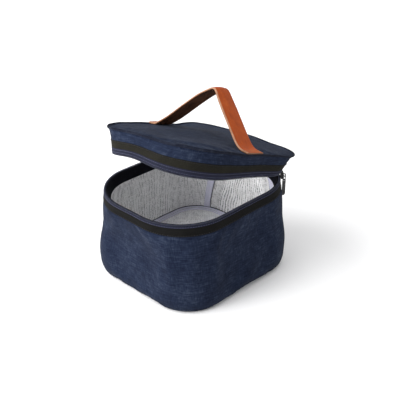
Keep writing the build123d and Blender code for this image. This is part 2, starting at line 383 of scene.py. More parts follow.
def zip_coil(name, body, height, inset, material):
    """Nylon coil: one wire wound round the edge of the tape, from end to end of the zip."""
    per_turn, sides, squash = 9, 5, 1.25
    start, end = STRIP_U + 0.01, TURN - STRIP_U - 0.01
    _, length = even_places(start, end, 3, FORM[body], height)
    count = int(length / COIL_PITCH) * per_turn
    places, _ = even_places(start, end, count, FORM[body], height)
    centre, _, out, up = track(PLACE[body], places, height, inset)
    turn = (2 * math.pi / per_turn * np.arange(count))[:, None]
    spoke = out * np.cos(turn) * squash + up * np.sin(turn)
    path = centre + spoke * COIL_RADIUS
    heading = unit(np.gradient(path, axis=0))
    side = unit(spoke - heading * np.sum(spoke * heading, 1, keepdims=True))
    return tube(name, path, side, np.cross(heading, side), COIL_WIRE, sides, False, material)


def wire(name, points, radius, closed, material):
    """Round wire through points that lie in one plane."""
    p = np.array(points, float)
    heading = np.roll(p, -1, 0) - np.roll(p, 1, 0) if closed else np.gradient(p, axis=0)
    plane = unit(np.cross(p[1] - p[0], p[len(p) // 2] - p[0]))
    return tube(name, p, np.cross(unit(heading), plane), plane, radius, 8, closed, material)


def disc(width, depth, radius, count_x, count_y):
    """Plan points of a grid that fills a rounded rectangle, in millimetres, and its share out."""
    gx, gy = np.meshgrid(np.linspace(-1, 1, count_x), np.linspace(-1, 1, count_y), indexing="xy")
    share = np.maximum(np.abs(gx), np.abs(gy))
    # Direction of each grid point, and how far the outline lies in that direction.
    dx, dy = gx * width / 2, gy * depth / 2
    fine = np.linspace(0, TURN, 6000, endpoint=False)
    ox, oy, _, _ = outline(fine, width, depth, radius)
    angle = np.arctan2(oy, ox)
    order = np.argsort(angle)
    reach = np.interp(np.arctan2(dy, dx), angle[order], np.hypot(ox, oy)[order],
                      period=2 * np.pi)
    size = np.hypot(dx, dy)
    edge = np.where(share > 0, size / np.maximum(share, 1e-9), 1)
    # Inside, keep the square grid; near the edge, bend it onto the outline.
    pull = smooth(share, 0.35, 1.0)
    scale = 1 + (reach / np.maximum(edge, 1e-9) - 1) * pull
    return dx * scale, dy * scale, share


def slab(name, top, bottom, plan, material):
    """Closed pad from a top grid and a bottom grid, mapped by its plan points."""
    rows, cols = top.shape[:2]
    layer = rows * cols
    faces, _, _ = grid_faces(rows, cols, False, False)
    index = np.arange(layer).reshape(rows, cols)
    edge = [*index[0], *index[1:, -1], *index[-1, -2::-1], *index[-2:0:-1, 0]]
    under = [[k + layer for k in face[::-1]] for face in faces]
    faces += under + [[int(a), int(b), int(b) + layer, int(a) + layer]
                      for a, b in zip(edge[-1:] + edge, edge)]
    uvs = (plan.reshape(-1, 2) * MM)[np.array(faces).ravel() % layer]
    verts = np.concatenate([top.reshape(-1, 3), bottom.reshape(-1, 3)])
    return solid(name, verts, faces, uvs, material)


def inflate(verts, faces, pinned, cap, slack):
    """Cloth simulation of a sheet under air pressure; points move at most cap millimetres."""
    frames, pressure, stiffness = 18, 1.2, 15.0
    scene = bpy.context.scene
    obj = make_object("sim_cloth", verts, faces)
    group = obj.vertex_groups.new(name="pin")
    group.add([int(k) for k in np.flatnonzero(pinned)], 1.0, "REPLACE")
    cloth = obj.modifiers.new("Cloth", "CLOTH")
    settings = cloth.settings
    settings.quality = 6
    settings.mass = 0.3
    settings.tension_stiffness = stiffness
    settings.compression_stiffness = stiffness
    settings.shear_stiffness = stiffness / 3
    settings.bending_stiffness = 0.5
    settings.vertex_group_mass = "pin"
    settings.use_pressure = True
    settings.uniform_pressure_force = pressure
    settings.effector_weights.gravity = 0
    settings.shrink_min = -slack
    cloth.collision_settings.use_self_collision = False
    for f in range(1, frames + 1):
        scene.frame_set(f)
    shaped = obj.evaluated_get(bpy.context.evaluated_depsgraph_get()).to_mesh()
    result = np.empty(len(shaped.vertices) * 3, np.float32)
    shaped.vertices.foreach_get("co", result)
    result = result.reshape(-1, 3).astype(float) / MM
    bpy.data.objects.remove(obj, do_unlink=True)
    scene.frame_set(1)
    move = result - verts
    far = np.linalg.norm(move, axis=1, keepdims=True)
    return verts + move * np.minimum(1, cap / np.maximum(far, 1e-9))


def applied(obj):
    """New mesh of an object with its modifiers or its curve worked out."""
    graph = bpy.context.evaluated_depsgraph_get()
    return bpy.data.meshes.new_from_object(obj.evaluated_get(graph))


def subdivide(obj):
    """One more level of smooth faces, applied."""
    mod = obj.modifiers.new("Subdivision", "SUBSURF")
    mod.levels = mod.render_levels = 1
    mesh = applied(obj)
    obj.modifiers.clear()
    old, obj.data = obj.data, mesh
    bpy.data.meshes.remove(old)


# ---- materials ----
class Nodes:
    """Small helper for writing node materials."""

    def __init__(self, name):
        self.material = bpy.data.materials.new(name)
        self.material.use_nodes = True
        self.tree = self.material.node_tree
        self.shader = self.tree.nodes["Principled BSDF"]

    def put(self, socket, value):
        """Links another node's value to a socket, or sets a constant on it."""
        if isinstance(value, bpy.types.NodeSocket):
            self.tree.links.new(value, socket)
        else:
            socket.default_value = value

    def add(self, kind, **inputs):
        node = self.tree.nodes.new(kind)
        for key, value in inputs.items():
            self.put(node.inputs[key], value)
        return node

    def on_cloth(self):
        """Place along and across the cloth, in metres."""
        node = self.tree.nodes.new("ShaderNodeUVMap")
        node.uv_map = "cloth"
        return node.outputs["UV"]

    def in_space(self):
        return self.tree.nodes.new("ShaderNodeTexCoord").outputs["Object"]

    def stretch(self, vector, x, y, z=1.0, turn=0.0):
        node = self.add("ShaderNodeMapping", Vector=vector, Scale=(x, y, z),
                        Rotation=(0, 0, turn))
        return node.outputs["Vector"]

    def noise(self, vector, scale=1.0, detail=3.0, rough=0.5):
        node = self.add("ShaderNodeTexNoise", Vector=vector, Scale=scale, Detail=detail,
                        Roughness=rough)
        return node.outputs["Fac"]

    def cells(self, vector, scale):
        return self.add("ShaderNodeTexVoronoi", Vector=vector, Scale=scale).outputs["Distance"]

    def math(self, operation, a, b=0.0):
        node = self.tree.nodes.new("ShaderNodeMath")
        node.operation = operation
        for socket, value in zip(node.inputs, (a, b)):
            self.put(socket, value)
        return node.outputs[0]

    def mix(self, *terms):
        """Sum of values, each times its weight."""
        parts = [self.math("MULTIPLY", value, weight) for value, weight in terms]
        total = parts[0]
        for part in parts[1:]:
            total = self.math("ADD", total, part)
        return total

    def ramp(self, factor, *stops):
        """Colours or greys at places along a value."""
        node = self.add("ShaderNodeValToRGB", Fac=factor)
        ramp = node.color_ramp
        while len(ramp.elements) < len(stops):
            ramp.elements.new(0.5)
        for element, (at, colour) in zip(ramp.elements, stops):
            element.position = at
            element.color = (*colour, 1.0) if isinstance(colour, tuple) else (colour,) * 3 + (1.0,)
        return node.outputs["Color"]

    def split(self, vector):
        node = self.add("ShaderNodeSeparateXYZ", Vector=vector)
        return node.outputs["X"], node.outputs["Y"]

    def sine(self, value, period):
        """Wave from 0 to 1 with a period in metres."""
        wave = self.math("SINE", self.math("MULTIPLY", value, 2 * math.pi / period))
        return self.math("ADD", self.math("MULTIPLY", wave, 0.5), 0.5)

    def bump(self, height, strength, distance):
        node = self.add("ShaderNodeBump", Height=height, Strength=strength, Distance=distance)
        return node.outputs["Normal"]

    def finish(self, colour, roughness, normal, **constants):
        inputs = self.shader.inputs
        self.put(inputs["Base Color"], colour)
        self.put(inputs["Roughness"], roughness)
        self.put(inputs["Normal"], normal)
        for key, value in constants.items():
            inputs[key.replace("_", " ")].default_value = value
        return self.material


def heather_cloth(name, dark, mid, light):
    """Two-tone woven cloth: long and cross threads picked out in lighter, uneven dashes."""
    n = Nodes(name)
    place = n.on_cloth()
    x, y = n.split(place)
    weft = n.noise(n.stretch(place, 130, 900, 130), 1.0, 2.0, 0.6)
    warp = n.noise(n.stretch(place, 900, 130, 900), 1.0, 2.0, 0.6)
    slub = n.noise(n.stretch(place, 45, 480, 45), 1.0, 2.0, 0.5)
    cloud = n.noise(place, 34.0, 4.0, 0.55)
    patch = n.noise(place, 110.0, 3.0, 0.6)
    tone = n.mix((weft, 0.34), (warp, 0.30), (cloud, 0.26), (patch, 0.20), (slub, 0.2))
    tone = n.math("SUBTRACT", tone, 0.175)
    colour = n.ramp(tone, (0.35, dark), (0.50, mid), (0.67, light))
    weave = n.math("MULTIPLY", n.sine(x, 0.0012), n.sine(y, 0.0012))
    height = n.mix((weave, 0.6), (weft, 0.5), (warp, 0.5))
    return n.finish(colour, n.ramp(tone, (0.3, 0.97), (0.75, 0.88)),
                    n.bump(height, 0.55, 0.00035), Sheen_Weight=0.02, Sheen_Roughness=0.5,
                    Specular_IOR_Level=0.07)


def tape_cloth(name, dark, light):
    """Fine twill zip tape."""
    n = Nodes(name)
    place = n.on_cloth()
    x, y = n.split(place)
    twill = n.sine(n.math("ADD", x, y), 0.0011)
    rows = n.sine(y, 0.0009)
    fuzz = n.noise(n.stretch(place, 500, 1400, 500), 1.0, 3.0, 0.6)
    wear = n.noise(place, 60.0, 3.0, 0.6)
    tone = n.mix((twill, 0.25), (fuzz, 0.5), (wear, 0.35))
    return n.finish(n.ramp(tone, (0.30, dark), (0.85, light)), 0.88,
                    n.bump(n.mix((twill, 0.6), (rows, 0.4)), 0.5, 0.0003),
                    Specular_IOR_Level=0.08)


def foil_film(name, base, turn=0.0):
    """Aluminised film on soft foam, stamped with rows of short dashes and creased by use."""
    n = Nodes(name)
    place = n.stretch(n.on_cloth(), 1.0, 1.0, 1.0, turn)
    x, y = n.split(place)
    sway = n.math("MULTIPLY", n.noise(place, 55.0, 2.0, 0.5), 0.004)
    rib = n.sine(n.math("ADD", x, sway), FOIL_RIB * MM)
    sway = n.math("MULTIPLY", n.noise(place, 140.0, 2.0), 0.003)
    dash = n.sine(n.math("ADD", y, sway), 0.0028)
    stamp = n.math("MULTIPLY", rib, n.math("ADD", n.math("MULTIPLY", dash, 0.60), 0.40))
    crease = n.noise(place, 150.0, 6.0, 0.72)
    fold = n.noise(place, 42.0, 3.0, 0.6)
    dull = n.noise(place, 26.0, 3.0, 0.55)
    # The colour below paints shade into the rib troughs and creases and paints glints at small
    # flecks, standing in for the film's reflections.
    painted_glint = n.ramp(n.noise(place, 520.0, 2.0, 0.6), (0.56, 0.0), (0.66, 1.0))
    tone = n.mix((stamp, 0.62), (crease, 0.62), (painted_glint, 0.30))
    colour = n.ramp(tone, (0.32, tuple(c * 0.34 for c in base)),
                    (0.44, tuple(c * 0.94 for c in base)),
                    (0.60, tuple(min(c * 1.1, 0.98) for c in base)))
    rough = n.ramp(n.mix((crease, 0.6), (dull, 0.5)), (0.35, 0.26), (0.8, 0.52))
    height = n.mix((stamp, 0.9), (crease, 0.8), (fold, 1.0))
    return n.finish(colour, rough, n.bump(height, 0.75, 0.0008), Metallic=0.3)


def thread_material(name, dark, light):
    n = Nodes(name)
    place = n.in_space()
    tone = n.noise(n.stretch(place, 900, 900, 900), 1.0, 2.0)
    return n.finish(n.ramp(tone, (0.3, dark), (0.7, light)), 0.7,
                    n.bump(n.noise(place, 2600.0, 1.0), 0.4, 0.0002), Specular_IOR_Level=0.15)


def nylon(name, dark, light):
    n = Nodes(name)
    place = n.in_space()
    tone = n.noise(place, 260.0, 3.0)
    return n.finish(n.ramp(tone, (0.3, dark), (0.7, light)),
                    n.ramp(tone, (0.3, 0.45), (0.7, 0.62)),
                    n.bump(n.noise(place, 1800.0, 2.0), 0.2, 0.0001), Specular_IOR_Level=0.2)


def leather(name, dark, mid, light, rough_low, rough_high):
    """Coated leather: pebble grain, fine pores and uneven tone."""
    n = Nodes(name)
    place = n.on_cloth()
    grain = n.cells(n.stretch(place, 1, 0.8, 1), 900.0)
    pores = n.noise(place, 2600.0, 2.0, 0.6)
    patch = n.noise(place, 60.0, 4.0, 0.6)
    streak = n.noise(n.stretch(place, 420, 60, 420), 1.0, 3.0, 0.6)
    tone = n.mix((patch, 0.6), (streak, 0.4), (grain, -0.10))
    return n.finish(n.ramp(tone, (0.28, dark), (0.48, mid), (0.70, light)),
                    n.ramp(tone, (0.3, rough_low), (0.7, rough_high)),
                    n.bump(n.mix((pores, 0.35), (grain, -1.0)), 0.45, 0.0003),
                    Specular_IOR_Level=0.10)


def coated_metal(name, dark, light):
    """Painted zinc with rubbed, slightly glossier places."""
    n = Nodes(name)
    place = n.in_space()
    wear = n.noise(place, 320.0, 5.0, 0.65)
    return n.finish(n.ramp(wear, (0.35, dark), (0.72, light)),
                    n.ramp(wear, (0.3, 0.60), (0.75, 0.42)),
                    n.bump(n.noise(place, 1900.0, 2.0, 0.5), 0.25, 0.0001), Metallic=0.25)


def board_material(name, dark, light):
    n = Nodes(name)
    cells = n.cells(n.in_space(), 700.0)
    return n.finish(n.ramp(cells, (0.1, dark), (0.7, light)), 0.9, n.bump(cells, 0.4, 0.0004))


def studio_paper(name):
    n = Nodes(name)
    tone = n.noise(n.in_space(), 9.0, 3.0)
    return n.finish(n.ramp(tone, (0.3, (0.86, 0.86, 0.865)), (0.7, (0.88, 0.88, 0.885))), 0.9,
                    n.bump(n.noise(n.in_space(), 900.0, 2.0), 0.05, 0.0003))


navy = heather_cloth("navy_heather", (0.0036, 0.0062, 0.0168), (0.0100, 0.0156, 0.0340),
                     (0.033, 0.044, 0.070))
navy_dark = heather_cloth("navy_piping", (0.003, 0.004, 0.009), (0.007, 0.009, 0.018),
                          (0.025, 0.03, 0.045))
rim_tape = tape_cloth("zip_tape_twill", (0.0014, 0.0014, 0.0016), (0.0095, 0.0093, 0.0085))
facing = tape_cloth("facing_twill", (0.0012, 0.0012, 0.0024), (0.006, 0.006, 0.011))
lid_tape = tape_cloth("lid_tape_twill", (0.0030, 0.0028, 0.0026), (0.020, 0.0188, 0.0135))
coil_tape = tape_cloth("coil_tape_twill", (0.006, 0.0066, 0.014), (0.022, 0.024, 0.042))
grey_tape = tape_cloth("grey_binding_twill", (0.50, 0.50, 0.61), (0.76, 0.76, 0.89))
foil = foil_film("foil_wall_film", (0.94, 0.94, 0.94))
floor_foil = foil_film("foil_floor_film", (0.90, 0.90, 0.93), turn=0.8)
# The lid's lining is the same foil as the walls, painted at about half its brightness as shade.
shaded_lid_foil = foil_film("foil_lid_film_painted_shade", (0.48, 0.48, 0.50))
# Dark cloth for thin strips and cords that are painted shade along the seams.
painted_seam_shadow = tape_cloth("seam_shadow_twill", (0.012, 0.012, 0.018), (0.06, 0.06, 0.075))
coil_nylon = nylon("coil_nylon", (0.018, 0.020, 0.034), (0.045, 0.05, 0.078))
thread_blue = thread_material("thread_blue", (0.035, 0.038, 0.07), (0.08, 0.085, 0.13))
thread_dark = thread_material("thread_dark", (0.006, 0.006, 0.008), (0.022, 0.022, 0.026))
thread_grey = thread_material("thread_grey", (0.16, 0.16, 0.18), (0.3, 0.3, 0.32))
thread_tan = thread_material("thread_tan", (0.26, 0.11, 0.045), (0.42, 0.22, 0.10))
tan = leather("tan_leather", (0.23, 0.040, 0.008), (0.34, 0.060, 0.010), (0.44, 0.098, 0.021),
              0.5, 0.68)
tan_back = leather("leather_back", (0.055, 0.023, 0.011), (0.125, 0.052, 0.027),
                   (0.22, 0.105, 0.058), 0.75, 0.95)
tan_edge = leather("leather_edge", (0.20, 0.09, 0.05), (0.34, 0.18, 0.11), (0.48, 0.30, 0.20),
                   0.5, 0.7)
metal = coated_metal("dark_zinc", (0.008, 0.008, 0.009), (0.03, 0.03, 0.033))
tab_metal = coated_metal("tab_zinc", (0.006, 0.006, 0.007), (0.022, 0.022, 0.025))
board = board_material("base_board_grey", (0.10, 0.10, 0.10), (0.2, 0.2, 0.2))


# ---- placing pieces ----
def settle(obj, body, slot, *nodes):
    """Gives a piece its body and hides the CAD nodes that it stands for; its finish, slot, is not
    used.

    A piece that is blended between two bodies has no body of its own here.
    """
    if body:
        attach(obj, body)
    if nodes:
        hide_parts(*nodes)
    return obj


def band(name, body, profile, places, closed, material, slot, *nodes):
    """Ring on the bag or the lid."""
    settle(ring(name, PLACE[body], profile, places, closed, material), body, slot, *nodes)


def sew(name, body, start, end, pitch, height, inset, thread, slot="zip_tape"):
    """Row of stitches on the bag or the lid."""
    settle(stitch_row(name, body, start, end, pitch, height, inset, thread), body, slot)


# ---- bag shell ----
def build_shell():
    """Outer cloth: a simulated wall between the base edge and the zip tape, closed underneath."""
    cols, cloth = 168, 1.1
    places, _ = even_places(0, TURN, cols, bag_form, 60, closed=True)
    heights = np.concatenate([[0.0, 0.5, 1.6, 3.4, 6.0, 9.5, 13.5],
                              np.linspace(18, RIM - 14, 22),
                              np.linspace(RIM - 11.5, RIM - 1.0, 5)])
    level = heights[:, None]
    # Under the zip tape the cloth lies a little further in.
    tuck = 0.9 * smooth(level, RIM - 14.5, RIM - 11.5)
    shape = bag_place(places[None, :], level, tuck)
    outer = shape.copy()
    outer[heights < 4, :, 2] = level[heights < 4]
    faces, _, _ = grid_faces(len(heights), cols, False, True)
    pinned = np.repeat((heights < 1.0) | (heights > RIM - 15), cols)
    outer = inflate(outer.reshape(-1, 3), faces, pinned, 2.6, 0.010).reshape(shape.shape)
    outer[..., 2] = np.maximum(outer[..., 2], 0.0)
    inner = bag_place(places[None, :], np.maximum(level, 1.2), tuck + cloth)
    inner += np.where((level > 16)[..., None], (outer - shape) * 0.9, 0)
    under, over = [[np.column_stack([edge[:, :2] * share, np.full(cols, z)])
                    for share in (0.92, 0.7, 0.45, 0.2)]
                   for edge, z in ((outer[0], 0.0), (inner[0], 1.2))]
    grid = np.array([*under[::-1], *outer, *inner[::-1], *over])
    faces, cr, cc = grid_faces(len(grid), cols, False, True, flip=True)
    along = loop_steps(outer[14])
    across = steps(grid[:, 0])
    uvs = grid_uvs(along, across, cc, cr)
    verts = grid.reshape(-1, 3).tolist()
    for row, z in ((0, 0.0), (len(grid) - 1, 1.2)):
        centre = len(verts)
        verts.append([0.0, 0.0, z])
        for k in range(cols):
            a, b = row * cols + k, row * cols + (k + 1) % cols
            faces.append([centre, a, b] if row == 0 else [centre, b, a])
            uvs += [[0.1, 0.1], [along[k], across[row]], [along[k + 1], across[row]]]
    obj = solid("bag_shell", verts, faces, uvs, navy)
    subdivide(obj)
    settle(obj, "bag", "navy_fabric", "outer_wall", "outer_base")


build_shell()

# ---- bag: foil lining ----
rim_us, rim_length = even_places(0, TURN, 240, bag_form, RIM, closed=True)


def foil_wall_place(u, height, inset):
    """Lining wall: puffy between its seams, with upright stamped ribs on its inner face."""
    point = bag_place(u, height, inset)
    x, y, nx, ny = outline(u, *bag_form(height))
    run = np.asarray(u, float) / TURN * rim_length
    rib = 0.18 * np.sin(2 * math.pi * run / FOIL_RIB)
    puff = ((1.2 * wander(x, y, height, 30, 4.4) + 0.5 * wander(x, y, height, 11, 7.7))
            * smooth(height, FLOOR_Z + 1, FLOOR_Z + 13) * (1 - smooth(height, 86, 99)))
    push = np.broadcast_to(smooth(inset, 6.4, 7.0) * (rib + puff), point.shape[:-1])
    return point - np.stack(np.broadcast_arrays(nx * push, ny * push, 0 * push), -1)


foil_us, _ = even_places(0, TURN, 1200, bag_form, RIM, closed=True)
# Down the inner face, round the seam at the floor, and up the outer side.
foil_wall = ring("foil_wall", foil_wall_place,
                 [(h, 7.3) for h in np.linspace(98.2, FLOOR_Z + 4.0, 28)]
                 + [(FLOOR_Z + a, b) for a, b in ((2.5, 7.7), (1.3, 8.6), (0.8, 9.9),
                                                  (0.3, 10.2), (-0.1, 9.4), (-0.3, 7.0))]
                 + [(h, 4.4) for h in np.linspace(FLOOR_Z + 3.0, 98.0, 16)]
                 + [(98.8, 4.3), (98.9, 6.6)], foil_us, True, foil)
settle(foil_wall, "bag", "foil_lining", "wall_lining", "wall_foam")

floor_width, floor_depth, floor_radius = bag_form(FLOOR_Z)
fx, fy, fshare = disc(floor_width - 16, floor_depth - 16, floor_radius - 8, 61, 69)
puff = 1.5 * (1 - fshare ** 3) + 0.7 * wander(fx, fy, 0 * fx, 26, 3.3) * (1 - fshare ** 4)
foil_floor = slab("foil_floor", np.stack([fx, fy, FLOOR_Z + 0.9 + puff], -1),
                  np.stack([fx, fy, np.full(fx.shape, FLOOR_Z - 8.0)], -1),
                  np.stack([fx, fy], -1), floor_foil)
settle(foil_floor, "bag", "foil_lining", "base_lining", "base_foam")

band("floor_binding", "bag",
     [(FLOOR_Z + a, b) for a, b in
      ((1.4, 7.8), (2.7, 8.1), (3.1, 9.2), (3.0, 12.6), (2.8, 14.8), (2.3, 15.7),
       (1.5, 15.4), (1.1, 12.0), (0.9, 9.0))], rim_us, True, grey_tape,
     "grey_binding", "base_binding")
sew("floor_binding_stitches", "bag", 0, TURN - 1e-6, 3.2, FLOOR_Z + 3.1, 13.6, thread_grey,
    "grey_binding")
# A thin dark cord at the foot of the floor binding: painted shadow in the seam.
band("floor_seam_shadow_cord", "bag", round_profile(FLOOR_Z + 2.9, 7.5, 0.6, 8), rim_us, True,
     painted_seam_shadow, "grey_binding")

# Upright bindings over the two seams of the lining's back panel, each beside a thin dark strip
# that is painted shadow; fold is where that strip lies.
SEAM_START, SEAM_END = 1.215, 1.343
SEAM_SHADOW_U, SEAM_SHADOW_HALF = SEAM_START - 0.006, 0.004
for name, span, fold in (
        ("right", (SEAM_START, SEAM_END), SEAM_SHADOW_U),
        ("left", (TURN - SEAM_END, TURN - SEAM_START), TURN - SEAM_SHADOW_U)):
    settle(ring(f"seam_binding_{name}", foil_wall_place,
                band_profile(FLOOR_Z + 3.0, 97.6, 6.2, 8.5, 40)[::-1], np.linspace(*span, 9),
                False, grey_tape), "bag", "grey_binding", f"{name}_seam_binding")
    settle(ring(f"seam_shadow_strip_{name}", foil_wall_place,
                band_profile(FLOOR_Z + 3.0, 97.6, 6.2, 8.2, 40)[::-1],
                np.linspace(-SEAM_SHADOW_HALF, SEAM_SHADOW_HALF, 4) + fold, False, painted_seam_shadow),
           "bag", "grey_binding")

# ---- bag: rim ----
band("rim_inner_facing", "bag",
     [(109.0, 1.9), (109.3, 2.4), (109.2, 3.1), (108.4, 3.8), (105.0, 5.4), (101.0, 7.1),
      (98.0, 8.1), (96.9, 8.4), (96.5, 8.0), (96.9, 7.3), (100.0, 6.4), (104.0, 4.9),
      (107.3, 3.2), (107.8, 2.2), (108.2, 1.8)], rim_us, True, facing, "zip_tape", "rim_facing")
tape_us, _ = even_places(STRIP_U, TURN - STRIP_U, 220, bag_form, RIM)
band("rim_zip_tape", "bag", band_profile(TAPE_LOW, 105.8, -0.35, 0.45, 8), tape_us, False,
     rim_tape, "zip_tape", "body_zip_tape")
band("rim_coil_tape", "bag", band_profile(105.2, 108.1, -0.2, 0.6, 4), tape_us, False,
     coil_tape, "zip_tape")
settle(zip_coil("rim_zip_coil", "bag", 108.85, 0.9, coil_nylon), "bag", "zip_coil",
       "body_zip_coil")
SEWN_SPAN = (STRIP_U + 0.02, TURN - STRIP_U - 0.02)
for name, height, thread in (("low", 97.3, thread_dark), ("high", 106.7, thread_blue)):
    sew(f"rim_stitches_{name}", "bag", *SEWN_SPAN, 2.8, height, -0.36, thread)


# ---- lid: crowned top ----
def build_crown():
    """Lid panel: a closed pad, its top blown up by simulation and held down by the strap.

    Returns its top for finding heights on it, before it is slumped and tilted.
    """
    width, depth, radius = lid_form(LID_WALL)
    px, py, share = disc(width - 1.0, depth - 1.0, radius - 0.5, 49, 57)
    edge = smooth(share, 0.8, 1.0) * seam_wave(px, py)
    top = np.stack([px, py, LID_WALL + edge + 0.8 * (1 - share ** 2)], -1)
    faces, _, _ = grid_faces(*px.shape, False, False)
    pinned = (share > 0.97).ravel()
    top = inflate(top.reshape(-1, 3), faces, pinned, 2.0, 0.006).reshape(top.shape)
    # The sewn ends of the strap hold the panel down.
    press = (1 - smooth(np.abs(py), 13, 27)) * smooth(np.abs(px), 48, 66)
    held = LID_WALL + 0.3 + 1.0 * smooth(82 - np.abs(px), 0, 16)
    top[..., 2] += (held - top[..., 2]) * press
    obj = slab("lid_crown", lid_world(*np.moveaxis(top, -1, 0)),
               lid_world(px, py, LID_WALL - 3.4 + edge * 0.5), np.stack([px, py], -1), navy)
    subdivide(obj)
    settle(obj, "lid", "navy_fabric", "lid_top", "lid_foam")
    return BVHTree.FromPolygons(top.reshape(-1, 3).tolist(), faces)


crown_tree = build_crown()


def crown_height(x):
    """Height of the lid's top over the zip edge, along the strap."""
    hit = crown_tree.ray_cast(Vector((x, 0.0, 80.0)), Vector((0, 0, -1)))[0]
    return hit.z if hit else LID_WALL


# ---- lid: wall, piping, tape, coil ----
lid_us, _ = even_places(0, TURN, 240, lid_form, LID_WALL, closed=True)
band("lid_wall", "lid", band_profile(13.4, LID_WALL + 0.4, 0.0, 1.3, 12), lid_us, True, navy,
     "navy_fabric", "lid_side_wall")
band("lid_seam_piping", "lid", round_profile(LID_WALL + 0.2, -0.75, 1.25, 12), lid_us, True,
     navy_dark, "navy_fabric", "lid_piping")
lid_tape_us, _ = even_places(STRIP_U, TURN - STRIP_U, 220, lid_form, 0)
band("lid_zip_tape_band", "lid", band_profile(7.2, 15.2, -0.5, 0.5, 8), lid_tape_us, False,
     lid_tape, "zip_tape", "lid_zip_tape")
band("lid_coil_tape", "lid", band_profile(1.6, 8.0, -0.3, 0.6, 5), lid_tape_us, False,
     coil_tape, "zip_tape")
settle(zip_coil("lid_zip_coil_wire", "lid", 0.95, 0.8, coil_nylon), "lid", "zip_coil",
       "lid_zip_coil")
for name, height, inset, thread in (("low", 3.0, -0.38, thread_blue),
                                    ("mid", 6.0, -0.38, thread_blue),
                                    ("high", 14.2, -0.58, thread_dark)):
    sew(f"lid_stitches_{name}", "lid", *SEWN_SPAN, 2.6, height, inset, thread)

# ---- lid: lining ----
band("lid_foil_wall", "lid",
     [(h, 5.3) for h in np.linspace(1.6, 21.5, 8)] + [(22.4, 5.0), (22.4, 3.6)]
     + [(h, 2.6) for h in (20.0, 10.0, 2.0)] + [(1.2, 3.4), (1.2, 4.8)], lid_us, True,
     shaded_lid_foil, "foil_lining", "lid_wall_lining")
band("lid_inner_facing", "lid",
     [(0.5, 1.9), (0.2, 3.2), (0.3, 4.8), (1.2, 5.8), (5.5, 6.0), (7.4, 5.9), (7.8, 5.6),
      (7.2, 5.2), (2.0, 5.0), (1.4, 4.2), (1.3, 2.4)], lid_us, True, facing, "zip_tape")
width, depth, radius = lid_form(22.0)
cx, cy, cshare = disc(width - 11.0, depth - 11.0, radius - 5.5, 53, 61)
sag = 1.4 * (1 - cshare ** 3) + 0.6 * wander(cx, cy, 0 * cx, 24, 6.3) * (1 - cshare ** 4)
lid_ceiling = slab("lid_foil_ceiling", lid_world(cx, cy, np.full(cx.shape, 23.2)),
                   lid_world(cx, cy, 21.9 - sag), np.stack([cx, cy], -1), shaded_lid_foil)
settle(lid_ceiling, "lid", "foil_lining", "lid_lining")
band("lid_ceiling_binding", "lid",
     [(21.6, 5.5), (20.9, 6.2), (20.5, 7.5), (20.4, 10.5), (20.7, 11.6), (21.3, 11.8),
      (21.9, 10.0), (22.1, 6.5)], lid_us, True, grey_tape, "grey_binding", "lid_binding")


# ---- hinge cloth ----
def build_hinge():
    """One strip of tape cloth sewn to the bag's back and to the lid, folding between them."""
    cols, sewn, fold = 61, 9, 8
    us = np.linspace(-1, 1, cols) * STRIP_U % TURN

    def face(inset):
        """Rows of one face: up the bag, round the fold and up the lid."""
        bag = [bag_place(us, h, inset) for h in np.linspace(TAPE_LOW - 0.4, 106.0, sewn)]
        lid = [lid_place(us, r, inset) for r in np.linspace(3.6, 14.8, sewn)]
        leave, arrive = (bag[-1] - bag[-2]) * 3, (lid[1] - lid[0]) * 3
        bend = [(2 * t ** 3 - 3 * t ** 2 + 1) * bag[-1] + (t ** 3 - 2 * t ** 2 + t) * leave
                + (3 * t ** 2 - 2 * t ** 3) * lid[0] + (t ** 3 - t ** 2) * arrive
                for t in np.linspace(0, 1, fold + 1)[1:-1]]
        return np.array(bag + bend + lid)

    outer = face(-0.55)
    grid = np.concatenate([outer, face(0.45)[::-1]])
    last = len(grid) - 1
    faces, cr, cc = grid_faces(len(grid), cols, True, False)
    uvs = grid_uvs(steps(outer[sewn // 2]), loop_steps(grid[:, cols // 2]), cc, cr)
    for col in (0, cols - 1):
        for row in range(len(outer) - 1):
            faces.append([r * cols + col for r in (row, row + 1, last - 1 - row, last - row)])
            uvs += [[0, 0], [0.001, 0], [0.001, 0.001], [0, 0.001]]
    obj = settle(solid("hinge_cloth", grid.reshape(-1, 3), faces, uvs, rim_tape), None,
                 "zip_tape", "hinge_strip", "lid_hinge_facing")
    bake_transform(obj)


build_hinge()
for body, height in (("bag", 97.2), ("lid", 14.2)):
    for half, start, end in (("right", 0.02, STRIP_U - 0.03),
                             ("left", TURN - STRIP_U + 0.03, TURN - 0.02)):
        sew(f"hinge_stitches_{body}_{half}", body, start, end, 2.8, height, -0.62, thread_dark)


# ---- strap ----
def strap_path():
    """Middle line of the strap in the lid's own frame: place along X and rise over the zip edge.

    Each knot has its place, its height over the lid where it is sewn down, or else over the
    feet, and whether it is sewn down.
    """
    knots = [(-81.2, 0.0, 1), (-76.0, 0.0, 1), (-71.0, 0.3, 1), (-66.0, 2.2, 0), (-58.0, 6.6, 0),
             (-44.0, 15.2, 0), (-26.0, 27.0, 0), (-8.0, 39.2, 0), (6.0, 48.4, 0), (10.8, 51.2, 0),
             (14.6, 51.6, 0), (18.2, 49.2, 0), (23.5, 43.2, 0), (32.0, 34.2, 0), (43.0, 22.6, 0),
             (54.0, 11.6, 0), (60.5, 5.4, 0), (65.5, 1.6, 0), (70.5, 0.3, 1), (76.0, 0.0, 1),
             (81.2, 0.0, 1)]
    above_panel = 1.25
    p = np.array([(x, h + (crown_height(x) + above_panel if sewn else FOOT_RISE))
                  for x, h, sewn in knots])
    p = np.concatenate([[2 * p[0] - p[1]], p, [2 * p[-1] - p[-2]]])
    out = []
    for a, b, c, d in zip(p, p[1:], p[2:], p[3:]):
        for t in np.linspace(0, 1, 9)[:-1]:
            out.append(0.5 * (2 * b + (c - a) * t + (2 * a - 5 * b + 4 * c - d) * t * t
                              + (3 * b - a - 3 * c + d) * t ** 3))
    out.append(p[-2])
    return np.array(out)


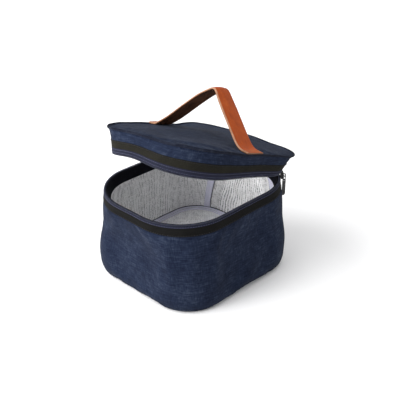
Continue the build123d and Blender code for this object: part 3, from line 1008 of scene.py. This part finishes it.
def build_strap():
    """Leather strap: tan outer face, dark back and painted edges, one piece from seam to seam."""
    face, back, edge = 0, 1, 2
    half, thick = 13.4, 1.15
    across = np.linspace(-half + 1.2, half - 1.2, 9)
    section = ([(y, thick, face) for y in across]
               + [(half - 0.5, thick * 0.86, face), (half, thick * 0.35, edge),
                  (half, -thick * 0.35, edge), (half - 0.5, -thick * 0.86, edge)]
               + [(y, -thick, back) for y in across[::-1]]
               + [(-half + 0.5, -thick * 0.86, back), (-half, -thick * 0.35, edge),
                  (-half, thick * 0.35, edge), (-half + 0.5, thick * 0.86, edge)])
    path = strap_path()
    heading = unit(np.gradient(path, axis=0))
    x, z = path[:, :1], path[:, 1:]
    side = np.array([y for y, _, _ in section])
    thickness = np.array([t for _, t, _ in section])
    # Over its feet the strap is slightly cupped and leans; its crest is creased and narrower.
    loose = smooth(z - FOOT_RISE, 3, 25)
    off = thickness + 0.9 * (1 - (side / half) ** 2) * loose
    pinch = 1 - 0.16 * hill(x, 12.0, 11.0)
    world = lid_world(x - heading[:, 1:] * off,
                      side * pinch + 1.0 * loose * np.sin(x / 55.0),
                      z + heading[:, :1] * off)
    rows, cols = len(path), len(section)
    faces, cr, cc = grid_faces(rows, cols, False, True)
    uvs = grid_uvs(loop_steps(np.stack([side, thickness], -1)), steps(path), cc, cr)
    kinds = [section[c][2] for c in cc[:, 0] % cols]
    for row in (0, rows - 1):
        end = [row * cols + c for c in range(cols)]
        faces.append(end if row else end[::-1])
        uvs += [[0.001 * c, 0.0] for c in range(cols)]
        kinds.append(edge)
    obj = settle(solid("carry_strap", world.reshape(-1, 3), faces, uvs, tan, tan_back, tan_edge,
                       kinds=kinds), None, "tan_strap", "handle_strap", "handle_lining",
                 "handle_leg_left", "handle_leg_right", "handle_end_left", "handle_end_right")
    start = lid_tilt(0.0, 0.0, FOOT_RISE + 1.5)
    end = lid_tilt(0.0, 0.0, FOOT_RISE + 22.0)
    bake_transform(obj)


def sew_strap():
    """Two rows of stitches across each end of the strap."""
    shape = [(-0.5, 0.12, -0.3), (-0.35, 0.28, 0.05), (0, 0.32, 0.2), (0.35, 0.28, 0.05),
             (0.5, 0.12, -0.3)]
    length, pitch, first, above_panel = 1.7, 2.48, -11.2, 2.45
    verts, faces = [], []
    span, up = np.array((0.0, length, 0.0)), np.array((0.0, 0.0, 1.0))
    for x in (-79.0, -75.5, 79.0, 75.5):
        for k in range(10):
            middle = np.array((x, first + pitch * k, crown_height(x) + above_panel))
            add_stitch(verts, faces, middle, span, up, shape)
    world = lid_world(*np.array(verts).T)
    settle(solid("strap_stitches", world, faces, None, thread_tan), "lid", "tan_strap")


build_strap()
sew_strap()


# ---- zip slider and pull ----
def flat_piece(name, outlines, thickness, bevel, origin, axes, material):
    """Flat metal piece with rounded edges from closed outlines; the inner ones are holes."""
    curve = bpy.data.curves.new(name, "CURVE")
    curve.dimensions = "2D"
    curve.fill_mode = "BOTH"
    curve.extrude = max(thickness / 2 - bevel, 0.01) * MM
    curve.bevel_depth = bevel * MM
    curve.bevel_resolution = 3
    for points in outlines:
        spline = curve.splines.new("POLY")
        spline.points.add(len(points) - 1)
        for point, (a, b) in zip(spline.points, points):
            point.co = (a * MM, b * MM, 0, 1)
        spline.use_cyclic_u = True
    holder = link(name, curve)
    mesh = applied(holder)
    bpy.data.objects.remove(holder, do_unlink=True)
    turn = Matrix(axes).transposed().to_4x4()
    turn.translation = origin * MM
    mesh.transform(turn)
    mesh.materials.clear()
    mesh.materials.append(material)
    clean(mesh, weld=True)
    mesh.polygons.foreach_set("use_smooth", [False] * len(mesh.polygons))
    return link(name, mesh)


def rounded(width, height, radius, cy=0.0, per_corner=6):
    """Outline of a rounded rectangle round a point on the piece's middle line."""
    points = []
    for sx, sy, start in ((1, 1, 0), (-1, 1, 90), (-1, -1, 180), (1, -1, 270)):
        for k in range(per_corner + 1):
            a = math.radians(start + 90 * k / per_corner)
            points.append((sx * (width / 2 - radius) + radius * math.cos(a),
                           cy + sy * (height / 2 - radius) + radius * math.sin(a)))
    return points


def build_slider():
    """Zip slider at the right back corner, its bridge, the wire link and the pull tab."""
    corner, corner_radius, clearance = Vector((17.5, 36.5, 110.0)), 63, 0.8
    out = Vector((math.cos(math.radians(45)), math.sin(math.radians(45)), 0))
    along = Vector((-out.y, out.x, 0))
    up = Vector((0, 0, 1))
    axes = (along, up, out)
    base = corner + out * (corner_radius + clearance)
    # Shield-shaped plates, wider at the front where the two halves of the zip part.
    half = [(-5.3, 1.9), (-4.6, 2.5), (-1.5, 2.7), (1.5, 3.1), (4.2, 3.4), (5.2, 2.9),
            (5.4, 1.6), (4.4, 0.6)]
    shield = half + [(4.2, 0.0)] + [(x, -y) for x, y in half[::-1]] + [(-5.5, 0.0)]
    plates = [flat_piece("slider_plate_outer", [shield], 1.5, 0.45, base + out * 2.8, axes, metal),
              flat_piece("slider_plate_inner", [shield], 1.1, 0.3, base + out * 0.6, axes, metal)]
    wall = [(-5.0, 2.35), (5.0, 2.7), (5.0, 1.8), (-5.0, 1.7)]
    for k, flange in enumerate((wall, [(x, -y) for x, y in wall[::-1]])):
        plates.append(flat_piece(f"slider_flange_{k}", [flange], 1.9, 0.2, base + out * 1.6,
                                 axes, metal))
    for piece in plates:
        settle(piece, "slider", "dark_metal")
    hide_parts("slider_body")
    front = base + out * 3.6
    arch = [front + up * (2.5 * math.cos(a)) + out * (2.6 * math.sin(a) ** 0.8 - 0.15)
            for a in (math.pi * k / 12 for k in range(13))]
    settle(wire("slider_bridge_wire", arch, 0.55, False, metal), "slider", "dark_metal",
           "slider_bridge")
    # The pull hangs slack in its bridge, turned a little off the slider's face.
    pin = front + out * 1.0
    twist = math.radians(50)
    along, out = (along * math.cos(twist) + out * math.sin(twist),
                  out * math.cos(twist) - along * math.sin(twist))
    axes = (along, up, out)
    loop = [pin + along * a + up * b for a, b in rounded(4.5, 5.9, 1.6, -2.95)]
    settle(wire("pull_link_wire", loop, 0.5, True, metal), "pull", "dark_metal", "pull_link")
    tab = [rounded(4.4, 20.6, 1.9, -15.4, 8), rounded(2.5, 2.2, 0.9, -6.8),
           rounded(1.5, 4.4, 0.7, -21.4)]
    settle(flat_piece("pull_tab_plate", tab, 1.3, 0.35, pin, axes, tab_metal), "pull",
           "pull_tab", "pull_tab")
    settle(flat_piece("pull_tab_rib", [rounded(2.4, 7.0, 0.9, -13.6)], 1.9, 0.4, pin, axes,
                      tab_metal), "pull", "pull_tab")


build_slider()

# ---- CAD nodes that stay ----
for node, material in (("zip_end_stops", metal), ("base_board", board)):
    kept = frame["nodes"][node]
    kept.data.materials.clear()
    kept.data.materials.append(material)

# ---- floor, light, camera ----
scene = bpy.context.scene
scene.view_settings.view_transform = "Standard"
scene.view_settings.look = "None"

FLOOR_HALF = 4000
ground = make_object("studio_floor", [(x * FLOOR_HALF, y * FLOOR_HALF, 0) for x, y in
                                      ((-1, -1), (1, -1), (1, 1), (-1, 1))], [[0, 1, 2, 3]],
                     None, [studio_paper("studio_paper")])

world = bpy.data.worlds.new("studio")
scene.world = world
world.use_nodes = True
sky = world.node_tree.nodes["Background"].inputs
sky["Color"].default_value = (1.0, 1.0, 1.0, 1)
sky["Strength"].default_value = 0.86


def area_light(name, place, aim, width, height, energy):
    data = bpy.data.lights.new(name, "AREA")
    data.shape = "RECTANGLE"
    data.size, data.size_y = width, height
    data.energy = energy
    obj = link(name, data)
    obj.location = place
    obj.rotation_euler = (Vector(aim) - Vector(place)).to_track_quat("-Z", "Y").to_euler()


area_light("key", (-0.75, -1.25, 1.15), (0, 0, 0.08), 1.8, 1.8, 50.0)
area_light("front", (-0.30, -1.5, 0.5), (0, 0.05, 0.06), 0.6, 0.5, 11.0)
area_light("top", (0.1, 0.3, 1.5), (0, 0, 0.1), 1.2, 1.2, 3.0)

CAMERA_AZIMUTH = math.radians(44.54)
CAMERA_ELEVATION = math.radians(29.35)
CAMERA_DISTANCE = 1.0
CAMERA_AIM = Vector((0, 0, 0.0654))
back = Vector((math.sin(CAMERA_AZIMUTH) * math.cos(CAMERA_ELEVATION),
               -math.cos(CAMERA_AZIMUTH) * math.cos(CAMERA_ELEVATION),
               math.sin(CAMERA_ELEVATION)))
camera_data = bpy.data.cameras.new("camera")
camera_data.sensor_width = 36.0
camera_data.lens = 76.5
camera_data.shift_x = 0.0175
camera_data.shift_y = 0.03625
camera_data.clip_start = 0.01
camera = link("camera", camera_data)
camera.location = CAMERA_AIM + back * CAMERA_DISTANCE
camera.rotation_euler = back.to_track_quat("Z", "Y").to_euler()
scene.camera = camera
